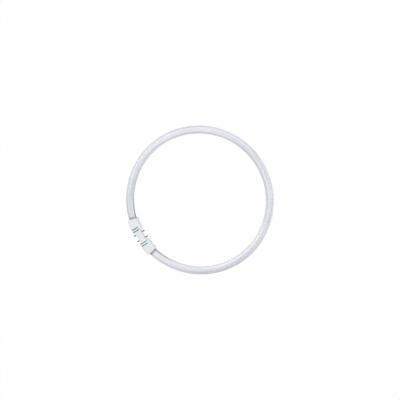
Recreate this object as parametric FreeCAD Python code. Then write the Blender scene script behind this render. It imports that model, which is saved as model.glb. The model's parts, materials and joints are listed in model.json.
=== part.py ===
import FreeCAD, Part

import math
import os

# A ring-shaped fluorescent lamp with a slim glass tube and a four-pin cap that bridges its ends.
# Millimetres. The ring lies flat in XY, its centre is the origin, and the cap is on -Y.
# The lamp is symmetric about x = 0, so the +X side is drawn and the other side is its mirror.

# Ring and glass
ring_radius = 142.0      # ring centre to the axis of the glass tube
tube_dia = 16.0
ring_lengths = 60        # the bend is drawn as mitred lengths, within 0.2 mm of a true ring
glass_grip = 11.0        # how far each glass end reaches into its collar
rim_bevel = 1.5          # fire-polished outer edge of the glass end
funnel_mouth_share = 0.65  # hollow of the flared stem at the glass end, to the tube's diameter
funnel_foot_share = 0.45
funnel_depth = 8.0

# Collars of the cap, one on each glass end
cap_span = 76.0          # between the middles of the two mouths, measured straight
wall = 1.8               # side walls
roof = 1.7               # top and bottom walls round the glass
cement_gap = 0.3         # ring of cement between glass and collar
cement_back = 1.5        # from the mouth to the cement
collar_shift = 0.4       # the collar sits this much nearer the ring centre than the glass
collar_edge = 3.0        # rounding of the collar's long edges
collar_inset = 2.1       # axis of the level part of the collar, inside the ring circle
shoulder_end = 15.6      # from the cap's middle, where the level part starts
shoulder_out = 11.8      # the same on the outer side, whose shoulder is steeper
throat_width = 10.4      # square passage for the leads, through the ledge that stops the glass
ledge = 0.7              # least plastic between the glass end and the room for the leads
chamber_roof = 2.1       # top and bottom walls of that room

# Waist of the cap, which carries the pins
waist_inset = 0.5        # axis of the waist, inside the ring circle
waist_length = 18.0
waist_width = 11.8
waist_height = 17.0
waist_edge = 1.6
spine = 1.0              # rib along the waist between inner and outer pins
barrier = 1.2            # rib across the waist between left and right pins
core_wall = 0.8          # plastic left between a moulding core and a pin
pad_width = 4.6          # square pad on the waist round each pin
pad_height = 0.9

# Contact pins
pin_spacing = 13.0       # between the two pins of one side
pin_span = 25.4          # from the tip of an inner pin to the tip of the outer one
pin_dia = 2.35
pin_body_dia = 2.8       # thicker part that is held in the cap
pin_bore_dia = 1.6
pin_root = 2.1           # the pin's back end, from the axis of the waist
pin_bevel = 0.7          # bevel of the tip
pin_plug = 0.9           # closed length at the tip, where the lead is soldered

# Lead wires
lead_dia = 0.5
lead_inset = 1.0         # from the edge of the stem's foot to a lead's axis
lead_clear = 0.05        # from the foot of the stem's funnel, as the leads run slantwise
lane_height = 2.0        # channel for the leads in the waist
lane_spare = 0.4         # extra width of the lane past the pin's back end

# Slots in the roof, and between them the snap arms, which hook in windows of the lower shell
slot_width = 1.5
slot_start = 1.3         # from where the outer side is at full width to the first slot
slot_reach = 7.1         # inner end of the slots, from the axis of the waist
slot_cut = 0.9           # how far the slots run into the outer wall
arm_width = 3.3
arm_thick = 1.2
arm_clear = 0.3          # between the arm and the outer wall
snap_gap = 0.1
barb_depth = 0.8         # how far the barb reaches into its window
barb_height = 1.3
barb_lip = 0.3           # upright edge of the barb above its slope
window_top = 2.2         # below the parting plane
window_spare = 0.3       # room below the arm's end

# Locating tabs by the inner wall, and the shadow line between the shells
tab_share = 0.5          # a tab's width, to the length of the level part of the chamber
tab_thick = 1.2
tab_drop = 2.4           # how far a tab reaches into the lower shell
tab_gap = 0.1
reveal_height = 0.2
reveal_depth = 0.5

# Worked out from the sizes above
tube_r = tube_dia / 2
funnel_mouth_r = tube_r * funnel_mouth_share
funnel_foot_r = tube_r * funnel_foot_share
bore_dia = tube_dia + 2 * cement_gap
collar_width = bore_dia + 2 * wall
collar_height = bore_dia + 2 * roof
turn = math.degrees(math.asin(cap_span / 2 / ring_radius))
level_y = collar_inset - ring_radius
waist_y = waist_inset - ring_radius
pin_x = pin_spacing / 2
pin_tip = pin_span / 2
lane_y = (spine / 2 + pin_root) / 2
chamber_height = collar_height - 2 * chamber_roof
chamber_start = waist_length / 2 + wall
chamber_full = shoulder_end + wall
pad_face = waist_width / 2 + pad_height
slot_mid = shoulder_out + slot_start + slot_width + arm_width / 2
outer_wall_y = level_y - collar_width / 2 + wall
inner_wall_y = level_y + collar_width / 2 - wall
reach = 2 * ring_radius  # longer than anything here
sharp_corner = 1         # how a swept wire turns: with a mitre

Vec = FreeCAD.Vector
origin = Vec(0, 0, 0)
z_axis = Vec(0, 0, 1)
along = Vec(math.cos(math.radians(turn)), math.sin(math.radians(turn)), 0)
inward = Vec(-along.y, along.x, 0)
mouth = inward * -ring_radius
collar_mouth = mouth + inward * collar_shift
bend_back = (collar_mouth.y - level_y) / along.y
bend_point = collar_mouth - along * bend_back
chamber_end = mouth.x - glass_grip * along.x - bore_dia / 2 * along.y - ledge
throat_end = (mouth.x - chamber_end + throat_width / 2 * along.y) / along.x


def other_side(shape):
    """The same shape on the -X side."""
    return shape.mirror(origin, Vec(1, 0, 0))


def block(x0, x1, y0, y1, z0, z1):
    """A box between two corners."""
    return Part.makeBox(x1 - x0, y1 - y0, z1 - z0, Vec(x0, y0, z0))


def in_mouth(depth, off_axis=0):
    """A point on the +X side, so deep in the collar, and so far out from the tube's axis."""
    return mouth - along * depth - inward * off_axis


def into_collar(shape):
    """A shape drawn along X from the origin, put into the +X collar from its mouth on."""
    shape.rotate(origin, z_axis, 180 + turn)
    shape.translate(mouth)
    return shape


def tube_rod(dia, start, length):
    """A round bar on the tube's axis, from a depth in the collar and on towards the waist."""
    return into_collar(Part.makeCylinder(dia / 2, length, Vec(start, 0, 0), Vec(1, 0, 0)))


def swept_rod(points, dia):
    """A round rod along straight lengths that meet in mitres."""
    start = Part.Circle(points[0], points[1] - points[0], dia / 2)
    path = Part.makePolygon(points)
    return path.makePipeShell([Part.Wire(start.toShape())], True, False, sharp_corner)


def section(centre, angle, width, height, edge):
    """Rounded rectangle square to a line at this angle, with its height along Z."""
    across = Vec(-math.sin(math.radians(angle)), math.cos(math.radians(angle)), 0)
    half_w = width / 2
    half_h = height / 2
    mid = edge * (1 - math.sqrt(0.5))

    def at(a, b):
        return centre + across * a + z_axis * b

    arcs = []
    for i, (a, b) in enumerate([(1, 1), (-1, 1), (-1, -1), (1, -1)]):
        ends = [at(a * half_w, b * (half_h - edge)), at(a * (half_w - edge), b * half_h)]
        if i % 2:
            ends.reverse()
        arcs.append(Part.Arc(ends[0], at(a * (half_w - mid), b * (half_h - mid)), ends[1]))
    edges = []
    for i, arc in enumerate(arcs):
        after = arcs[(i + 1) % 4]
        edges.append(arc.toShape())
        edges.append(Part.LineSegment(arc.EndPoint, after.StartPoint).toShape())
    return Part.Wire(edges)


def bar(wire, run):
    """A straight length with this section."""
    return Part.Face(wire).extrude(run)


def widening(x0, x1, x1_out, y0, y1, z0, z1):
    """A block that widens along X: y0 and y1 are (low, high) pairs, z0 and z1 half heights.

    Its outer side is steeper than the others, and is at full width from x1_out on.
    """
    low = y0[0] + (y1[0] - y0[0]) * (x1 - x0) / (x1_out - x0)
    wedge = Part.makeWedge(-y0[1], x0, -z0, -z1, -y1[1], -y0[0], x1, z0, z1, -low)
    wedge.rotate(origin, z_axis, -90)
    return wedge.common(block(x0, x1, *y1, -z1, z1))


def span_y(middle, width):
    """The low and high Y of something this wide."""
    return middle - width / 2, middle + width / 2


def cap_form(inset=0.0):
    """Outside of the whole cap, or that form with every wall moved in.

    Waist, bevelled shoulders that widen to the collars, a level part, and after a mitred
    bend a straight part in line with the glass.
    """
    waist = (waist_width - 2 * inset, waist_height - 2 * inset)
    collar = (collar_width - 2 * inset, collar_height - 2 * inset)
    x0 = waist_length / 2 + inset
    x1 = shoulder_end + inset
    level_in = section(Vec(x0, level_y, 0), 0, *collar, collar_edge)
    level = bar(level_in, Vec(bend_point.x, 0, 0))
    widths = span_y(waist_y, waist[0]), span_y(level_y, collar[0])
    slopes = widening(x0, x1, shoulder_out + inset, *widths, waist[1] / 2, collar[1] / 2)
    shoulder = level.common(slopes)
    beyond = Part.makeCylinder(collar_width, reach, bend_point, along + Vec(1, 0, 0))
    level = level.cut([block(0, x1, -reach, 0, -reach, reach), beyond])
    tilted = section(bend_point - along * wall * 2, turn, *collar, collar_edge)
    tilted = bar(tilted, along * (bend_back + wall * 2 - inset)).common(beyond)
    side = shoulder.fuse([level, tilted])
    middle = bar(
        section(Vec(-x0, waist_y, 0), 0, *waist, waist_edge), Vec(2 * x0, 0, 0)
    )
    return middle.fuse([side, other_side(side)]).removeSplitter()


def collar_hollow():
    """Bore for the glass, throat behind its ledge, and chamber for the leads, on +X."""
    near = span_y(waist_y, waist_width - 2 * wall)
    far = span_y(level_y, bore_dia)
    top = chamber_height / 2
    start_top = waist_height / 2 - roof
    hollow = widening(
        chamber_start, chamber_full, shoulder_out + wall, near, far, start_top, top
    )
    hollow = hollow.fuse(block(chamber_full, chamber_end, *far, -top, top))
    half = throat_width / 2
    throat = into_collar(block(glass_grip, throat_end, -half, half, -half, half))
    return hollow.fuse([throat, tube_rod(bore_dia, -wall, glass_grip + wall)])


def waist_hollows():
    """Pin seats, lanes for the leads, and moulding cores, on +X."""
    hollows = []
    core_end = pin_x - pin_body_dia / 2 - core_wall
    core_z = waist_height / 2 - roof
    for y_dir in (1, -1):
        out = Vec(0, y_dir, 0)
        seat = Part.makeCylinder(pin_body_dia / 2, pin_tip, Vec(pin_x, waist_y, 0) + out * pin_root, out)
        lane_sides = sorted([waist_y + y_dir * spine / 2, waist_y + y_dir * (pin_root + lane_spare)])
        lane_half = lane_height / 2
        lane = block(pin_x - lane_half, chamber_start + wall, *lane_sides, -lane_half, lane_half)
        core_sides = sorted([waist_y + y_dir * spine / 2, waist_y + y_dir * (waist_width / 2 - wall)])
        core = block(barrier / 2, core_end, *core_sides, -core_z, core_z)
        hollows += [seat, lane, core]
    return hollows


def pin_pads():
    """The square pads that the two pins of the +X side stand in."""
    half = pad_width / 2
    return block(
        pin_x - half, pin_x + half, waist_y - pad_face, waist_y + pad_face, -half, half
    )


def turned(points, axis):
    """A solid turned round an axis through the origin, from its half outline."""
    outline = Part.makePolygon(points + points[:1])
    return Part.Face(outline).revolve(origin, axis, 360)


def glass_tube():
    """The sealed tube: most of a ring, with straight ends and flared stems.

    Each length of the ring touches the true circle at its middle, so the first and the last
    are in line with the straight ends.
    """
    step = math.radians(360 - 2 * turn) / ring_lengths
    first = math.radians(turn - 90) + step / 2
    corner_radius = ring_radius / math.cos(step / 2)
    points = [mouth]
    for i in range(ring_lengths):
        angle = first + i * step
        points.append(Vec(math.cos(angle), math.sin(angle), 0) * corner_radius)
    points.append(Vec(-mouth.x, mouth.y, 0))
    foot = glass_grip - funnel_depth
    end = turned(
        [
            Vec(0, 0, 0),
            Vec(0, tube_r, 0),
            Vec(glass_grip - rim_bevel, tube_r, 0),
            Vec(glass_grip, tube_r - rim_bevel, 0),
            Vec(glass_grip, funnel_mouth_r, 0),
            Vec(foot, funnel_foot_r, 0),
            Vec(foot, 0, 0),
        ],
        Vec(1, 0, 0),
    )
    end = into_collar(end)
    return swept_rod(points, tube_dia).fuse([end, other_side(end)]).removeSplitter()


def cement_ring():
    """The compound between a glass end and its collar, just back from the mouth."""
    length = glass_grip - rim_bevel - cement_back
    outside = tube_rod(bore_dia, cement_back, length)
    return outside.cut(tube_rod(tube_dia, cement_back, length))


def contact_pin(y_dir):
    """A turned hollow pin on +X: body, slimmer end with a bevelled tip, bore for its lead."""
    r = pin_dia / 2
    body = pin_body_dia / 2
    bore = pin_bore_dia / 2
    pin = turned(
        [
            Vec(0, pin_tip, 0),
            Vec(0, pin_tip - pin_plug, 0),
            Vec(bore, pin_tip - pin_plug, 0),
            Vec(bore, pin_root, 0),
            Vec(body, pin_root, 0),
            Vec(body, pad_face, 0),
            Vec(r, pad_face, 0),
            Vec(r, pin_tip - pin_bevel, 0),
            Vec(r - pin_bevel, pin_tip, 0),
        ],
        Vec(0, 1, 0),
    )
    if y_dir < 0:
        pin = pin.mirror(origin, Vec(0, 1, 0))
    pin.translate(Vec(pin_x, waist_y, 0))
    return pin


def lead_wire(y_dir):
    """One lead, from the glass stem along its lane in the waist and up its pin, on +X."""
    points = [
        in_mouth(glass_grip - funnel_depth + lead_clear, -y_dir * (funnel_foot_r - lead_inset)),
        Vec(pin_x, waist_y + y_dir * lane_y, 0),
        Vec(pin_x, waist_y + y_dir * (pin_tip - pin_plug), 0),
    ]
    return swept_rod(points, lead_dia)


def split_cap():
    """The hollow cap cut in two at the ring's plane: upper half, lower half."""
    pads = pin_pads()
    solid = cap_form().fuse([pads, other_side(pads)])
    hollows = [collar_hollow()] + waist_hollows()
    hollows += [other_side(hollow) for hollow in hollows]
    shell = solid.cut(hollows)
    above = block(-reach, reach, -reach, reach, 0, reach)
    below = block(-reach, reach, -reach, reach, -reach, 0)
    shadow = solid.cut(cap_form(reveal_depth)).common(
        block(-reach, reach, -reach, reach, -reveal_height, 0)
    )
    return shell.common(above), shell.common(below).cut(shadow)


def slots():
    """The two slots beside a snap arm, through the roof and down the inside of the outer wall."""
    cuts = []
    ends = [outer_wall_y - slot_cut, waist_y + slot_reach]
    for step in (-1, 1):
        middle = slot_mid + step * (arm_width + slot_width) / 2
        sides = [middle - slot_width / 2, middle + slot_width / 2]
        cuts.append(block(*sides, *ends, 0, reach))
    return cuts


def snap_arm():
    """The arm that hangs from the roof between two slots, with a barb in its window."""
    x0 = slot_mid - arm_width / 2
    face = outer_wall_y + arm_clear
    back = face + arm_thick
    tip = outer_wall_y - barb_depth
    top = collar_height / 2 - roof / 2
    barb_top = -window_top - snap_gap
    foot = barb_top - barb_height
    points = [
        Vec(x0, back, top),
        Vec(x0, back, foot),
        Vec(x0, face, foot),
        Vec(x0, tip, barb_top - barb_lip),
        Vec(x0, tip, barb_top),
        Vec(x0, face, barb_top),
        Vec(x0, face, top),
    ]
    outline = Part.makePolygon(points + points[:1])
    return Part.Face(outline).extrude(Vec(arm_width, 0, 0))


def snap_window():
    """The window for the barb, through the outer wall of the lower shell."""
    half = arm_width / 2 + snap_gap
    foot = window_top + snap_gap + barb_height + window_spare
    return block(slot_mid - half, slot_mid + half, -reach, outer_wall_y + snap_gap, -foot, -window_top)


def locating_tab():
    """A tab of the upper shell that drops down along the inner wall of the lower one."""
    middle = (chamber_full + chamber_end) / 2
    half = tab_share * (chamber_end - chamber_full) / 2
    x0 = middle - half
    x1 = middle + half
    face = inner_wall_y - tab_gap
    tab = block(x0, x1, face - tab_thick, face, -tab_drop, roof)
    return tab.fuse(block(x0, x1, face - tab_thick, inner_wall_y + wall / 2, 0, roof))


def cap_upper_shell(half):
    """Upper half with its slots, snap arms and locating tabs."""
    cuts = slots()
    added = [snap_arm(), locating_tab()]
    half = half.cut(cuts + [other_side(cut) for cut in cuts])
    return half.fuse(added + [other_side(piece) for piece in added]).removeSplitter()


def cap_lower_shell(half):
    """Lower half with the windows that the barbs hook in."""
    window = snap_window()
    return half.cut([window, other_side(window)]).removeSplitter()


def all_nodes():
    """Every piece of the lamp by name."""
    upper, lower = split_cap()
    nodes = {
        "glass_tube": glass_tube(),
        "cap_upper_shell": cap_upper_shell(upper),
        "cap_lower_shell": cap_lower_shell(lower),
    }
    right = {"cement_ring": cement_ring()}
    for place, y_dir in (("inner", 1), ("outer", -1)):
        right["contact_pin_" + place] = contact_pin(y_dir)
        right["lead_wire_" + place] = lead_wire(y_dir)
    for name, shape in right.items():
        nodes[name + "_right"] = shape
        nodes[name + "_left"] = other_side(shape)
    return nodes


os.makedirs("parts", exist_ok=True)
for name, shape in all_nodes().items():
    if shape.ShapeType == "Compound" and len(shape.Solids) == 1:
        shape = shape.Solids[0]
    shape.exportStep("parts/" + name + ".step")
    print(name, len(shape.Solids), "solid", round(shape.Volume, 1), "mm3", shape.isValid())
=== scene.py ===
# %% [markdown]
# # A ring-shaped fluorescent lamp
# This scene dresses a circular fluorescent tube: a slim glass ring whose two ends meet in a white
# plastic cap with four contact pins. The solid model comes first and is never moved. Finer skins,
# the finishes, the light and the camera are added round it.

# %% Tools and the solid model
import json
import math

import bmesh
import bpy
import numpy as np
from mathutils import Matrix, Vector


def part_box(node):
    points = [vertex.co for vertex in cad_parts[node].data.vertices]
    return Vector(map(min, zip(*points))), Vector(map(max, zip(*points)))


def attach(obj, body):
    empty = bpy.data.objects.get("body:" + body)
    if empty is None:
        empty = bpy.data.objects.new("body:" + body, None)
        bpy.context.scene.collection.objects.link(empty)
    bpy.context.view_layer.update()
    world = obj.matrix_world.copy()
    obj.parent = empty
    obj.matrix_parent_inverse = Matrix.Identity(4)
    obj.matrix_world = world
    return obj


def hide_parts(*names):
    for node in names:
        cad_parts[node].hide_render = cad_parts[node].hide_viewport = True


bpy.ops.wm.read_factory_settings(use_empty=True)
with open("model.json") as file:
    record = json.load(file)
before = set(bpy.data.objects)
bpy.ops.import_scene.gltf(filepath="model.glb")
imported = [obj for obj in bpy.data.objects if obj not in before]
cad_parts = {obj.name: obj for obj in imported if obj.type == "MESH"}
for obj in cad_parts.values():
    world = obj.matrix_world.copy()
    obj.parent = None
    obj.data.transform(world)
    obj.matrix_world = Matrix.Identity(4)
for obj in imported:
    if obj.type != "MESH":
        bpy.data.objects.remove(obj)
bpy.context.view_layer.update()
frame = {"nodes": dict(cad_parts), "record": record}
print("pieces of the solid model:", sorted(frame["nodes"]))

# %% [markdown]
# ## Sizes
# The new skins have to lie exactly on the solid pieces. The ring's radius and the tube's
# thickness are read from the box round the glass, and the places of the pins from theirs. A box
# can't tell where the glass stops being a curve. So the distance of the cap's mouths from its
# middle, and how far the glass reaches in, are written here with the solid model's own sizes.

# %% Sizes of the ring
MM = 0.001
glass_low, glass_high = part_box("glass_tube")
tube_radius = (glass_high.z - glass_low.z) / 2
ring_radius = glass_high.y - tube_radius
mouth_x = 38 * MM
glass_grip = 11 * MM
turn = math.asin(mouth_x / ring_radius)
arc_half = ring_radius * (math.pi - turn)
print("tube radius", tube_radius, "ring radius", ring_radius, "turn of a mouth", math.degrees(turn))

# %% [markdown]
# ## Surfaces from numbers
# A surface here is a grid of points. One direction of the grid goes round a section, the other
# goes along the piece. The helper joins neighbouring points with four-sided faces, closes the
# section on itself, and shuts an end whose section has shrunk to one point. It also keeps two
# useful numbers for the materials: how far round and how far along each point is.
#
# Faces have to point outwards, and which way they point depends on how the grid winds. The
# volume tells: it is negative when they point inwards, and then the helper turns them round.


# %% Helper that turns a grid of points into a closed piece
def skin(name, grid, along):
    """A closed skin from a grid of points, given as stations by points round by three.

    Each station joins the next with quads and wraps round. The first and last stations are
    single points repeated, so their quads become a fan and the surface is closed.
    """
    stations, around, _ = grid.shape
    inner = grid[1:-1].reshape(-1, 3)
    points = np.vstack([inner, grid[0, :1], grid[-1, :1]])
    rows = np.arange(stations - 3)[:, None] * around
    here = np.arange(around)[None, :]
    after = (here + 1) % around
    quads = np.stack(
        [rows + here, rows + after, rows + around + after, rows + around + here], axis=-1
    ).reshape(-1, 4)
    ring = np.arange(around)
    turned_ring = (ring + 1) % around
    start = np.full(around, len(inner))
    finish = start + 1
    last = (stations - 3) * around
    fan_a = np.stack([turned_ring, ring, start], axis=-1)
    fan_b = np.stack([last + ring, last + turned_ring, finish], axis=-1)
    mesh = bpy.data.meshes.new(name)
    mesh.from_pydata(points.tolist(), [], quads.tolist() + fan_a.tolist() + fan_b.tolist())
    mesh.validate()
    if volume_of(mesh) < 0:
        mesh.flip_normals()
    spread = np.repeat(np.asarray(along)[1:-1], around)
    values = np.concatenate([spread, [along[0], along[-1]]]).astype(np.float32)
    mesh.attributes.new("along", "FLOAT", "POINT").data.foreach_set("value", values)
    mesh.polygons.foreach_set("use_smooth", np.ones(len(mesh.polygons), dtype=bool))
    add_round_and_long_map(mesh, values, around, len(inner))
    piece = bpy.data.objects.new(name, mesh)
    bpy.context.scene.collection.objects.link(piece)
    print(name, "points", len(points), "faces", len(mesh.polygons), "volume", volume_of(mesh))
    return piece


def add_round_and_long_map(mesh, values, around, ringed):
    """A UV map: U is the share of a turn round the section, V is metres along the piece."""
    corners = np.empty(len(mesh.loops), dtype=np.int32)
    mesh.loops.foreach_get("vertex_index", corners)
    share = np.where(corners < ringed, (corners % around) / around, 0.5)
    starts = np.empty(len(mesh.polygons), dtype=np.int32)
    counts = np.empty(len(mesh.polygons), dtype=np.int32)
    mesh.polygons.foreach_get("loop_start", starts)
    mesh.polygons.foreach_get("loop_total", counts)
    face = np.repeat(np.arange(len(starts)), counts)
    highest = np.maximum.reduceat(share, starts)
    share = np.where((highest[face] > 0.75) & (share < 0.25), share + 1, share)
    layer = mesh.uv_layers.new(name="round_and_long")
    layer.data.foreach_set("uv", np.stack([share, values[corners]], axis=-1).ravel())


def volume_of(mesh):
    """Volume inside a closed mesh: the sum over its triangles of a . (b x c) / 6.

    It is negative where the faces point inwards.
    """
    mesh.calc_loop_triangles()
    corners = np.empty(len(mesh.loop_triangles) * 3, dtype=np.int32)
    mesh.loop_triangles.foreach_get("vertices", corners)
    places = np.empty(len(mesh.vertices) * 3)
    mesh.vertices.foreach_get("co", places)
    a, b, c = np.moveaxis(places.reshape(-1, 3)[corners.reshape(-1, 3)], 1, 0)
    return float(np.einsum("ij,ij->i", a, np.cross(b, c)).sum() / 6)


# %% [markdown]
# ## Finishes: the small building blocks
# Every material below starts from the same shader, a Principled one, and adds its own pattern
# nodes. These helpers only make a node and set its sockets, so that each finish reads as a list
# of what its surface shows.


# %% Helpers for materials
def new_finish(name, **sockets):
    """A material with one Principled shader whose plain numbers are set on its own sockets."""
    material = bpy.data.materials.new(name)
    material.use_nodes = True
    shader = material.node_tree.nodes["Principled BSDF"]
    for socket, value in sockets.items():
        shader.inputs[socket.replace("_", " ")].default_value = value
    return material, shader


def add_node(material, kind, **sockets):
    """A node of this kind, with plain numbers on its sockets."""
    made = material.node_tree.nodes.new(kind)
    for socket, value in sockets.items():
        made.inputs[socket.replace("_", " ")].default_value = value
    return made


def wire(material, source, target):
    """Joins an output to an input."""
    material.node_tree.links.new(source, target)


def object_place(material):
    """The place of a point in the object's own coordinates, in metres."""
    return add_node(material, "ShaderNodeTexCoord").outputs["Object"]


def noise_on(material, coordinate, scale, detail, stretch=(1, 1, 1)):
    """Soft noise on a coordinate, stretched along its axes, from 0 to 1."""
    mapping = add_node(material, "ShaderNodeMapping", Scale=stretch)
    noise = add_node(material, "ShaderNodeTexNoise", Scale=scale, Detail=detail)
    wire(material, coordinate, mapping.inputs["Vector"])
    wire(material, mapping.outputs["Vector"], noise.inputs["Vector"])
    return noise.outputs["Fac"]


def between(material, value, low, high, to_low=0.0, to_high=1.0):
    """Value rescaled so that low becomes to_low and high becomes to_high, held at both ends."""
    scaled = add_node(material, "ShaderNodeMapRange")
    for socket, number in zip(scaled.inputs[1:5], (low, high, to_low, to_high)):
        socket.default_value = number
    wire(material, value, scaled.inputs[0])
    return scaled.outputs[0]


def math_node(material, operation, first, second):
    """One sum on two values, each a number or an output."""
    node = add_node(material, "ShaderNodeMath")
    node.operation = operation
    for socket, value in zip(node.inputs, (first, second)):
        if isinstance(value, bpy.types.NodeSocket):
            wire(material, value, socket)
        else:
            socket.default_value = value
    return node.outputs[0]


def mixed(material, share, low, high):
    """A colour between two, by a share; each end is a colour or an output."""
    mix = material.node_tree.nodes.new("ShaderNodeMix")
    mix.data_type = "RGBA"
    wire(material, share, mix.inputs[0])
    for socket, colour in ((mix.inputs[6], low), (mix.inputs[7], high)):
        if isinstance(colour, bpy.types.NodeSocket):
            wire(material, colour, socket)
        else:
            socket.default_value = (*colour, 1)
    return mix.outputs[2]


def bumped(material, shader, height, depth, strength):
    """Small relief: height from 0 to 1 stands for this many metres."""
    bump = add_node(material, "ShaderNodeBump", Strength=strength, Distance=depth)
    wire(material, height, bump.inputs["Height"])
    wire(material, bump.outputs["Normal"], shader.inputs["Normal"])


# %% [markdown]
# ## The glass ring
# The real tube is clear glass with a powder coat inside, bent into a ring. Each end disappears
# in the cap, where the glass is closed by a flared stem. A plain ring could be made by spinning
# a circle. But this one has two ends that run straight into the cap, each with a lip and a
# funnel, so the shape is one profile carried along one path.
#
# The path runs straight into the left mouth, round the ring, and straight into the right mouth.
# The profile says how thick the tube is at each distance: full thickness nearly everywhere, a
# fire-polished lip at each end, and a funnel that leads back in to the stem's foot.


# %% Path and profile of the glass
def ring_path(distance):
    """Places and outward directions along the axis of the glass.

    Distance 0 is opposite the cap. Up to half the arc the angle grows by distance / radius, and
    past it the axis runs on straight along the last tangent.
    """
    held = np.clip(distance, -arc_half, arc_half)
    angle = math.pi / 2 + held / ring_radius
    out = np.stack([np.cos(angle), np.sin(angle), np.zeros_like(angle)], axis=-1)
    tangent = np.stack([-np.sin(angle), np.cos(angle), np.zeros_like(angle)], axis=-1)
    return out * ring_radius + tangent * (distance - held)[:, None], out


inner_lip = 5.2 * MM
funnel_depth = 8 * MM
funnel_foot_radius = 3.6 * MM
foot_ring_radius = 1.8 * MM
arc_stations = 261


def glass_profile():
    """Distance and radius along one half of the tube, from its middle to the stem's foot.

    The lip is half a circle between the tube's radius and inner_lip. The funnel is a straight
    cone from there to its foot, which a flat disc closes.
    """
    end = arc_half + glass_grip
    foot = end - funnel_depth
    lip = (tube_radius - inner_lip) / 2
    sweep = np.linspace(0, math.pi, 13)[1:]
    arc = np.linspace(0, arc_half, arc_stations)
    straight = np.linspace(arc_half, end - lip, 9)[1:]
    rim = end - lip + lip * np.sin(sweep)
    rim_radius = inner_lip + lip + lip * np.cos(sweep)
    cone = np.linspace(end - lip, foot, 7)[1:]
    cone_radius = np.linspace(inner_lip, funnel_foot_radius, 7)[1:]
    full = np.full(len(arc) + len(straight), tube_radius)
    distance = np.concatenate([arc, straight, rim, cone, [foot, foot]])
    radius = np.concatenate([full, rim_radius, cone_radius, [foot_ring_radius, 0]])
    return distance, radius


# %% The glass skin
around_glass = 96
half_distance, half_radius = glass_profile()
distance = np.concatenate([-half_distance[:0:-1], half_distance])
radius = np.concatenate([half_radius[:0:-1], half_radius])
centre, outward = ring_path(distance)
phase = np.linspace(0, 2 * math.pi, around_glass, endpoint=False)
upward = np.array([0.0, 0.0, 1.0])
spoke = (
    np.cos(phase)[None, :, None] * outward[:, None, :]
    + np.sin(phase)[None, :, None] * upward
)
glass_grid = centre[:, None, :] + radius[:, None, None] * spoke
glass = skin("coated_glass_ring", glass_grid, distance)
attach(glass, "root")
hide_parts("glass_tube")

# %% [markdown]
# ### The coat in the glass
# In the photograph the coat is matt and faintly lavender, with a soft gloss on the glass in
# front of it. A clear tube round a matt one would show that too. One surface, a rough base under
# a clear coat, is enough at this size and simpler to export.
#
# Two more things show in the photograph: faint streaks along the tube, some lighter and some
# greyer, and a grey line along each flank, stronger towards the two ends. The streaks are painted
# reflections of the light and dark round the lamp, and the flank lines are painted shade at the
# tube's edges. What makes them isn't known. It may be an uneven coat, the edge of the glass wall
# or a reflection. They are painted into the base colour, and they were chosen to match the
# photograph. The price is that they stay on the flanks when the lamp is seen from another side.


# %% Coordinates round the tube
lengthwise_squeeze = 3.0


def round_the_tube(material):
    """How far outward a point faces, and a seamless coordinate round and along the tube.

    With u the share of a turn and v the metres along, the first is cos(2 pi u): 1 at the ring's
    outer side and -1 at its inner side. The second is (cos 2 pi u, sin 2 pi u, 3 v), which
    closes on itself.
    """
    parts = add_node(material, "ShaderNodeSeparateXYZ")
    wire(material, add_node(material, "ShaderNodeUVMap").outputs["UV"], parts.inputs[0])
    angle = math_node(material, "MULTIPLY", parts.outputs["X"], 2 * math.pi)
    joined = add_node(material, "ShaderNodeCombineXYZ")
    outwardness = math_node(material, "COSINE", angle, 0)
    wire(material, outwardness, joined.inputs["X"])
    wire(material, math_node(material, "SINE", angle, 0), joined.inputs["Y"])
    squeezed = math_node(material, "MULTIPLY", parts.outputs["Y"], lengthwise_squeeze)
    wire(material, squeezed, joined.inputs["Z"])
    return outwardness, joined.outputs[0]


# %% Coated glass: the coat and its painted reflection streaks
coated_glass, shader = new_finish(
    "coated_glass",
    Roughness=0.55,
    IOR=1.5,
    Coat_Weight=1.0,
    Specular_IOR_Level=0.15,
    Coat_Roughness=0.12,
    Coat_IOR=1.52,
)
place = object_place(coated_glass)
outwardness, lengthwise = round_the_tube(coated_glass)
powder_colour = (0.765, 0.78, 0.845)
mottle_and_reflection_colour = (0.905, 0.912, 0.915)
dark_reflection_colour = (0.63, 0.64, 0.675)
clouds = noise_on(coated_glass, place, 18.0, 2.0)
# Painted reflections: lighter and greyer streaks along the tube stand for light and dark bands
# reflected in the glass.
streaks = noise_on(coated_glass, lengthwise, 1.9, 3.0)
cloud_share = between(coated_glass, clouds, 0.35, 0.75, 0, 0.3)
painted_light_reflection = between(coated_glass, streaks, 0.52, 0.64, 0, 0.9)
painted_dark_reflection = between(coated_glass, streaks, 0.48, 0.36, 0, 0.9)
colour = mixed(coated_glass, cloud_share, powder_colour, mottle_and_reflection_colour)
colour = mixed(coated_glass, painted_light_reflection, colour, mottle_and_reflection_colour)
colour = mixed(coated_glass, painted_dark_reflection, colour, dark_reflection_colour)

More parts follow.
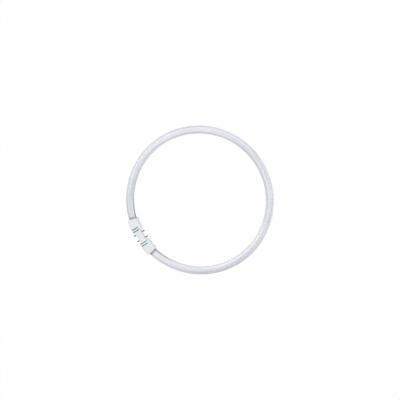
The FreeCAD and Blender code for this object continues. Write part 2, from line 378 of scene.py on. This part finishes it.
# %% Coated glass: painted shade on the flanks, and the grey ends
# Painted shade: a grey line along each flank of the tube, stronger towards the ends, and darker flanks
# within 60 mm of each mouth.
edge_shade_colour = (0.42, 0.425, 0.44)
end_shade_and_band_colour = (0.31, 0.31, 0.32)
flank = math_node(coated_glass, "ABSOLUTE", outwardness, 0)
along_tube = add_node(coated_glass, "ShaderNodeAttribute")
along_tube.attribute_name = "along"
from_middle = math_node(coated_glass, "ABSOLUTE", along_tube.outputs["Fac"], 0)
towards_end = between(coated_glass, from_middle, 0.2 * arc_half, 0.9 * arc_half, 0.02, 0.65)
painted_edge_shade = math_node(coated_glass, "MULTIPLY", towards_end, between(coated_glass, flank, 0.86, 0.97))
colour = mixed(coated_glass, painted_edge_shade, colour, edge_shade_colour)
near_end = between(coated_glass, from_middle, arc_half - 60 * MM, arc_half - 5 * MM, 0, 0.85)
painted_end_shade = math_node(coated_glass, "MULTIPLY", near_end, between(coated_glass, flank, 0.68, 0.9))
colour = mixed(coated_glass, painted_end_shade, colour, end_shade_and_band_colour)
# A grey band on the glass just outside each mouth of the cap, darkest at the mouth.
mouth_band = between(coated_glass, from_middle, arc_half - 6.5 * MM, arc_half - 2.5 * MM, 0, 0.8)
colour = mixed(coated_glass, mouth_band, colour, end_shade_and_band_colour)
wire(coated_glass, colour, shader.inputs["Base Color"])
ripple = noise_on(coated_glass, lengthwise, 1.2, 0.0)
bumped(coated_glass, shader, ripple, 0.2 * MM, 0.05)
glass.data.materials.append(coated_glass)
print("coated_glass nodes", len(coated_glass.node_tree.nodes))

# %% [markdown]
# ## The cap
# The cap is two moulded half shells that snap together. A solid model has knife-sharp edges,
# but a moulding never has: its tool is cut with small radii, and those catch the light. So each
# shell is copied, its loose triangles are merged, and a Bevel modifier rounds the edges by a
# fifth of a millimetre. The copy then stands in for the sharp one.


# %% Soft-edged copies of the shells
crease = math.radians(30)
nearly_flat = math.radians(1)
same_point = 1e-6


def softened(node, name, width):
    """A merged copy of a solid piece whose sharp edges are rounded by a small radius."""
    mesh = frame["nodes"][node].data.copy()
    mesh.name = name
    mesh.materials.clear()
    piece = bpy.data.objects.new(name, mesh)
    bpy.context.scene.collection.objects.link(piece)
    work = bmesh.new()
    work.from_mesh(mesh)
    bmesh.ops.remove_doubles(work, verts=work.verts, dist=same_point)
    bmesh.ops.dissolve_limit(work, angle_limit=nearly_flat, verts=work.verts, edges=work.edges)
    work.to_mesh(mesh)
    work.free()
    mesh.polygons.foreach_set("use_smooth", np.ones(len(mesh.polygons), dtype=bool))
    mesh.set_sharp_from_angle(angle=crease)
    bevel = piece.modifiers.new("soft edges", "BEVEL")
    bevel.width = width
    bevel.segments = 2
    bevel.limit_method = "ANGLE"
    bevel.angle_limit = crease
    bevel.use_clamp_overlap = True
    bevel.harden_normals = True
    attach(piece, "root")
    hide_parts(node)
    print(name, "faces before rounding", len(mesh.polygons))
    return piece


edge_rounding = 0.2 * MM
shells = [
    softened("cap_upper_shell", "cap_upper_shell_soft", edge_rounding),
    softened("cap_lower_shell", "cap_lower_shell_soft", edge_rounding),
]

# %% [markdown]
# The plastic is a white moulding, a little greenish beside the glass. In the photograph the waist
# is more neutral than the collars, so the colour changes between them. A moulding of this kind
# usually has a fine grain, which spreads the highlights. Here it is a bump of less than a tenth
# of a millimetre, with a roughness that varies slightly.
#
# The four slots look dark because little light finds its way in and out again. So the inside
# has the same finish as the outside. A nearly black one was tried there, and it made the slots
# only 1 to 6 levels of 255 darker.

# %% Cap plastic finish
cap_plastic, shader = new_finish("cap_plastic", Roughness=0.42, IOR=1.49)
place = object_place(cap_plastic)
grain = noise_on(cap_plastic, place, 3500.0, 4.0)
flow = noise_on(cap_plastic, place, 60.0, 3.0, (1.0, 2.5, 2.5))
plastic_colour = (0.825, 0.865, 0.86)
dull_plastic_colour = (0.79, 0.82, 0.81)
waist_colour = (0.84, 0.857, 0.868)
dull_share = between(cap_plastic, flow, 0.4, 0.75, 0, 0.6)
colour = mixed(cap_plastic, dull_share, plastic_colour, dull_plastic_colour)
sides = add_node(cap_plastic, "ShaderNodeSeparateXYZ")
wire(cap_plastic, place, sides.inputs[0])
from_waist = math_node(cap_plastic, "ABSOLUTE", sides.outputs["X"], 0)
in_waist = between(cap_plastic, from_waist, 9 * MM, 13 * MM, 1, 0)
colour = mixed(cap_plastic, in_waist, colour, waist_colour)
wire(cap_plastic, colour, shader.inputs["Base Color"])
wire(cap_plastic, between(cap_plastic, grain, 0.3, 0.7, 0.36, 0.5), shader.inputs["Roughness"])
bumped(cap_plastic, shader, grain, 0.06 * MM, 0.35)

for shell in shells:
    shell.data.materials.append(cap_plastic)
print("cap_plastic nodes", len(cap_plastic.node_tree.nodes))

# %% [markdown]
# ## The contact pins
# Each pin is turned from brass tube and nickel plated. A turned part is a profile spun round
# its axis, so the skin carries pairs of height and radius along a straight line. The tip is
# closed by a low dome of solder, which holds the lead.


# %% Turned pins
mounts = {mount["name"]: mount for mount in frame["record"]["mounts"]}
around_pin = 40
tip_rounding = 0.7 * MM
chamfer = 0.1 * MM
dome_shoulder = (0.1 * MM, 0.28 * MM)
dome_foot_radius = 0.45 * MM
dome_height = 0.14 * MM


def turned_pin(name, node, outward_sign):
    """A pin as a body of revolution about its axis, which points along plus or minus Y.

    Its profile steps from the body in the cap to the slimmer end, rounds the tip by a quarter
    circle, and ends in a low dome of solder. A point at height h, radius r and turn p lies at
    (r cos p, h, -r sin p), turned round for a pin that points the other way.
    """
    low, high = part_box(node)
    middle_x = (low.x + high.x) / 2
    body = (high.x - low.x) / 2
    root = low.y if outward_sign > 0 else high.y
    length = high.y - low.y
    slim = mounts[node]["dims"]["r_mm"] * MM
    rounding_start = length - tip_rounding
    step = rounding_start - mounts[node]["dims"]["length_mm"] * MM
    sweep = np.linspace(0, math.pi / 2, 7)[1:]
    height = np.concatenate(
        [
            [0, 0, chamfer, step - chamfer, step, step, rounding_start],
            rounding_start + tip_rounding * np.sin(sweep),
            [length, length + dome_shoulder[0], length + dome_height],
        ]
    )
    around_axis = np.concatenate(
        [
            [0, body - chamfer, body, body, body - chamfer, slim, slim],
            slim - tip_rounding + tip_rounding * np.cos(sweep),
            [dome_foot_radius, dome_shoulder[1], 0],
        ]
    )
    phase = np.linspace(0, 2 * math.pi, around_pin, endpoint=False)
    grid = np.stack(
        [
            middle_x + around_axis[:, None] * np.cos(phase) * outward_sign,
            np.broadcast_to(root + outward_sign * height[:, None], (len(height), around_pin)),
            -around_axis[:, None] * np.sin(phase),
        ],
        axis=-1,
    )
    pin = skin(name, grid, height)
    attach(pin, "root")
    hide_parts(node)
    return pin


pin_directions = {"inner_left": 1, "inner_right": 1, "outer_left": -1, "outer_right": -1}
pins = [
    turned_pin("plated_pin_" + seat, "contact_pin_" + seat, sign)
    for seat, sign in pin_directions.items()
]

# %% [markdown]
# Real nickel is much paler than the metal below. But shiny surfaces see a plain white surround
# in this scene, and real nickel turned the pins pale under it, while the photograph shows them
# grey. So the metal was chosen darker, to match the photograph: its darkness is painted shade.
# The faint wear along each pin is a guess.

# %% Pin metal finish
pin_metal, shader = new_finish("pin_metal", Metallic=1.0, Roughness=0.3)
place = object_place(pin_metal)
wear = noise_on(pin_metal, place, 900.0, 3.0, (1.0, 0.15, 1.0))
# Painted shade: the plating is far darker than real nickel.
painted_shade_plating_colour = (0.17, 0.168, 0.163)
worn_colour = (0.10, 0.099, 0.096)
colour = mixed(pin_metal, between(pin_metal, wear, 0.35, 0.75), painted_shade_plating_colour, worn_colour)
wire(pin_metal, colour, shader.inputs["Base Color"])
wire(pin_metal, between(pin_metal, wear, 0.3, 0.7, 0.22, 0.4), shader.inputs["Roughness"])
bumped(pin_metal, shader, wear, 0.02 * MM, 0.3)
for pin in pins:
    pin.data.materials.append(pin_metal)
print("pin_metal is on", [pin.name for pin in pins])

# %% [markdown]
# ## Hidden pieces
# The cement rings and the lead wires stay as they are in the solid model. They are closed in by
# the cap, so no photograph shows them. They still get finishes of their own, a chalky one and a
# drawn metal, because someone may take the cap apart.

# %% Cement and lead wire finishes
cement, shader = new_finish("cement", Roughness=0.9)
place = object_place(cement)
crumbs = noise_on(cement, place, 1400.0, 5.0)
dark_cement = (0.46, 0.44, 0.38)
pale_cement = (0.56, 0.54, 0.48)
wire(cement, mixed(cement, crumbs, dark_cement, pale_cement), shader.inputs["Base Color"])
bumped(cement, shader, crumbs, 0.15 * MM, 0.6)

lead_metal, shader = new_finish("lead_metal", Metallic=1.0, Roughness=0.35)
place = object_place(lead_metal)
drawn = noise_on(lead_metal, place, 2000.0, 2.0)
dark_wire = (0.42, 0.40, 0.37)
pale_wire = (0.52, 0.50, 0.47)
wire(lead_metal, mixed(lead_metal, drawn, dark_wire, pale_wire), shader.inputs["Base Color"])

for start, finish in (("cement_ring", cement), ("lead_wire", lead_metal)):
    for node, piece in frame["nodes"].items():
        if node.startswith(start):
            piece.data.materials.clear()
            piece.data.materials.append(finish)
            print(node, "has the finish", finish.name)

# %% [markdown]
# ## The floor
# The photograph shows the lamp cut out on white. The floor is a pale sheet a hair under the
# cap's lowest point, so that no two faces share a plane. To the camera it glows white, mixed
# with a fiftieth of its real, shaded colour, so that a trace of the shadow is kept.


# %% Floor
def straight_or_glossy(material):
    """1 for rays from the camera and those that a shiny or clear surface sends on, else 0."""
    rays = add_node(material, "ShaderNodeLightPath")
    sent_on = math_node(
        material, "MAXIMUM", rays.outputs["Is Glossy Ray"], rays.outputs["Is Transmission Ray"]
    )
    return math_node(material, "MAXIMUM", rays.outputs["Is Camera Ray"], sent_on)


hair = 0.05 * MM
floor_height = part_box("cap_lower_shell")[0].z - hair
half_floor = 3.0
corners = np.array([[-1, -1], [1, -1], [1, 1], [-1, 1]]) * half_floor
floor_points = np.column_stack([corners, np.full(4, floor_height)])
floor_mesh = bpy.data.meshes.new("floor")
floor_mesh.from_pydata(floor_points.tolist(), [], [(0, 1, 2, 3)])
floor = bpy.data.objects.new("floor", floor_mesh)
bpy.context.scene.collection.objects.link(floor)

glow_share = 0.98
paper, real_paper = new_finish("white_paper", Base_Color=(0.55, 0.55, 0.55, 1), Roughness=0.9)
glow = add_node(paper, "ShaderNodeEmission", Strength=1.0)
share = math_node(paper, "MULTIPLY", straight_or_glossy(paper), glow_share)
blend = add_node(paper, "ShaderNodeMixShader")
wire(paper, share, blend.inputs[0])
wire(paper, real_paper.outputs[0], blend.inputs[1])
wire(paper, glow.outputs[0], blend.inputs[2])
wire(paper, blend.outputs[0], paper.node_tree.nodes["Material Output"].inputs["Surface"])
floor_mesh.materials.append(paper)
print("floor at height", floor_height)

# %% [markdown]
# ## The camera
# The photograph looks almost straight down the ring's axis and shows hardly any perspective, so
# the camera stands far off and has a long lens. The ring's outline is an ellipse 0.982 as high
# as it is wide, which is a tilt of eleven degrees. The cap lies to the lower left, so the camera
# is also rolled. The numbers below are that tilt, the roll, how wide the frame is at the ring,
# how far off the camera stands, and by how many pixels the ring lies off the picture's middle.

# %% Camera
tilt = math.radians(11.0)
cap_direction = math.radians(31.5)
frame_width = 0.802
camera_distance = 5.0
picture_pixels = 400
aim_right_pixels = 0.31
aim_up_pixels = 0.11
pixel = frame_width / picture_pixels

back = Vector((0, math.sin(tilt), math.cos(tilt)))
ring_y = Vector((0, math.cos(tilt), -math.sin(tilt)))
ring_x = Vector((1, 0, 0))
right = ring_x * math.sin(cap_direction) + ring_y * math.cos(cap_direction)
up = ring_y * math.sin(cap_direction) - ring_x * math.cos(cap_direction)
aim = (right * aim_right_pixels + up * aim_up_pixels) * pixel
sensor_width = 36.0
camera_data = bpy.data.cameras.new("camera")
camera_data.sensor_width = sensor_width
camera_data.lens = sensor_width * camera_distance / frame_width
camera = bpy.data.objects.new("camera", camera_data)
bpy.context.scene.collection.objects.link(camera)
camera.matrix_world = Matrix.Translation(aim + back * camera_distance) @ Matrix(
    (right, up, back)
).transposed().to_4x4()
bpy.context.scene.camera = camera
print("camera lens", camera_data.lens, "looks at", list(aim))

# %% [markdown]
# ## The light
# A glass tube shows its lamps as bright streaks along it, so their shape and place matter more
# than their strength. Three long soft lamps are used. The strongest stands on the left of the
# picture and a little above it, the second on the right, and a weak one below. The first two are
# so low that their reflections run half-way between the tube's crown and its flank. The weak
# one stands higher, so its reflection lies nearer the crown.


# %% Lamps
def strip_lamp(name, from_direction, long_way, distance, length, width, power):
    """A long soft lamp that far from the ring, on this side of it, turned towards the ring.

    Its long sides run as nearly along long_way as they can while it faces the ring.
    """
    data = bpy.data.lights.new(name, "AREA")
    data.shape = "RECTANGLE"
    data.size = length
    data.size_y = width
    data.energy = power
    lamp = bpy.data.objects.new(name, data)
    bpy.context.scene.collection.objects.link(lamp)
    facing = from_direction.normalized()
    across = facing.cross(long_way).normalized()
    lengthwise = across.cross(facing)
    turned = Matrix((lengthwise, across, facing)).transposed().to_4x4()
    lamp.matrix_world = Matrix.Translation(facing * distance) @ turned
    print(name, "at", [round(value, 3) for value in facing * distance], "with", power, "W")


lamp_distance = 2.0
from_left = up * 0.45 - right * 0.9 + back * 0.65
from_right = right + up * 0.2 + back * 0.65
from_below = right * 0.2 - up + back * 1.6
strip_lamp("left_lamp", from_left, right * 0.45 + up * 0.9, lamp_distance, 1.6, 0.9, 14)
strip_lamp("right_lamp", from_right, up, lamp_distance, 1.6, 0.7, 12)
strip_lamp("near_lamp", from_below, right, lamp_distance, 1.4, 0.4, 4)

# %% [markdown]
# The surround is brightest overhead and a little towards the top of the picture, and dimmer
# towards the horizon, like a tent with its lamp on top. That makes the flanks of the tube a
# little greyer than its crown. Rays that come straight from the camera, or by way of a shiny
# surface, see plain white instead.

# %% Surround
world = bpy.data.worlds.new("surround")
bpy.context.scene.world = world
world.use_nodes = True
direction = add_node(world, "ShaderNodeTexCoord").outputs["Generated"]
towards_tent_lamp = add_node(world, "ShaderNodeVectorMath")
towards_tent_lamp.operation = "DOT_PRODUCT"
wire(world, direction, towards_tent_lamp.inputs[0])
towards_tent_lamp.inputs[1].default_value = (back + up * 0.55 - right * 0.15).normalized()
closeness = towards_tent_lamp.outputs["Value"]
horizon_colour = (0.36, 0.362, 0.365)
overhead_colour = (0.65, 0.658, 0.670)
tent = mixed(world, between(world, closeness, -0.5, 1.0), horizon_colour, overhead_colour)
background = world.node_tree.nodes["Background"]
wire(world, tent, background.inputs["Color"])
background.inputs["Strength"].default_value = 1.0
white = add_node(world, "ShaderNodeBackground", Strength=1.0)
white.inputs["Color"].default_value = (1, 1, 1, 1)
choice = add_node(world, "ShaderNodeMixShader")
wire(world, straight_or_glossy(world), choice.inputs[0])
wire(world, background.outputs[0], choice.inputs[1])
wire(world, white.outputs[0], choice.inputs[2])
wire(world, choice.outputs[0], world.node_tree.nodes["World Output"].inputs["Surface"])
bpy.context.scene.view_settings.view_transform = "Standard"
print("surround nodes", len(world.node_tree.nodes))
